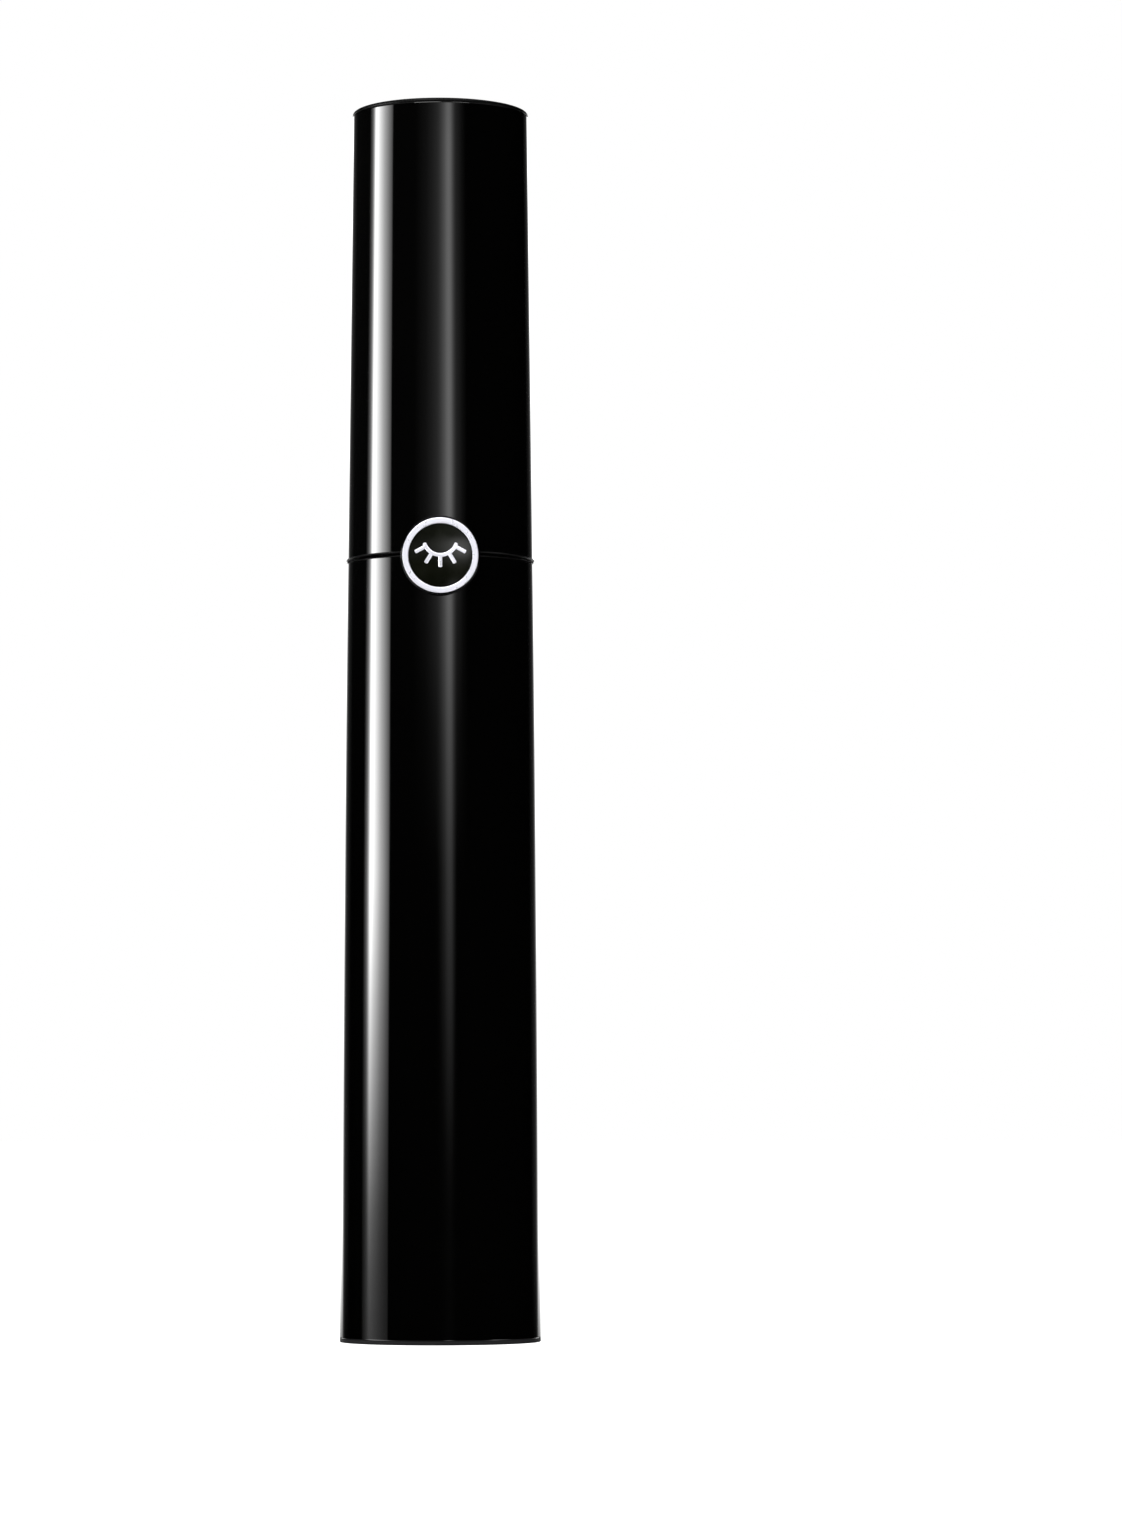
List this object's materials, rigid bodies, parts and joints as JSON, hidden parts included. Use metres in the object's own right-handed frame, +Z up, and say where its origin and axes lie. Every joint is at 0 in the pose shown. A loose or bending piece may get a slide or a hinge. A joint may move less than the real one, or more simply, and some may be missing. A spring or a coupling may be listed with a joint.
{
  "type": "mascara tube",
  "caption": "Slim tapered round mascara tube with a screw cap, a round medallion over the seam, and a wand with a twisted-wire brush inside.",
  "frame": {"origin": "centre of the base, on the surface that the tube stands on", "axes": "+Z up along the tube's axis, towards the cap; -Y is the front, where the medallion faces; +X to the right seen from the front"},
  "size_m": [0.0214, 0.0217, 0.132],
  "materials": {
    "lacquer_tube": "high-gloss black lacquer",
    "lacquer_cap": "high-gloss black lacquer",
    "coin_plastic": "gloss black moulded",
    "silver_trim": "bright plated",
    "dome_resin": "glossy cast resin",
    "bottle_plastic": "moulded black polypropylene",
    "collar_plastic": "satin black moulded",
    "wiper_soft": "soft translucent grey-black elastomer",
    "washer_soft": "satin elastomer",
    "inner_plastic": "moulded black polypropylene",
    "base_plastic": "gloss black rim, fine matt underside",
    "label_film": "blank satin film",
    "weight_steel": "plain turned",
    "rod_plastic": "gloss black moulded",
    "wire_steel": "twisted bright wire",
    "bristle_nylon": "black nylon fibre coated with product"
  },
  "bodies": {
    "tube": {"outer_tube": "lacquer_tube", "base_plug": "base_plastic", "base_label": "label_film", "bottle": "bottle_plastic", "neck_collar": "collar_plastic", "wiper": "wiper_soft"},
    "washer": {"seal_washer": "washer_soft"},
    "cap": {"cap_shell": "lacquer_cap", "cap_top_disc": "lacquer_cap", "inner_cap": "inner_plastic", "cap_weight": "weight_steel", "rod": "rod_plastic", "brush_wire": "wire_steel", "bristles": "bristle_nylon", "medallion_carrier": "coin_plastic", "medallion_ring": "silver_trim", "medallion_dome": "dome_resin", "medallion_motif": "silver_trim"}
  },
  "joints": [
    {"name": "cap_turn", "type": "hinge", "parent": "tube", "child": "washer", "pos_m": [0, 0, 0.0835], "axis": [0, 0, 1], "range_deg": [0, 540]},
    {"name": "cap_lift", "type": "slide", "parent": "washer", "child": "cap", "axis": [0, 0, 1], "range_m": [0, 0.1], "deforming": ["bristles"]}
  ]
}
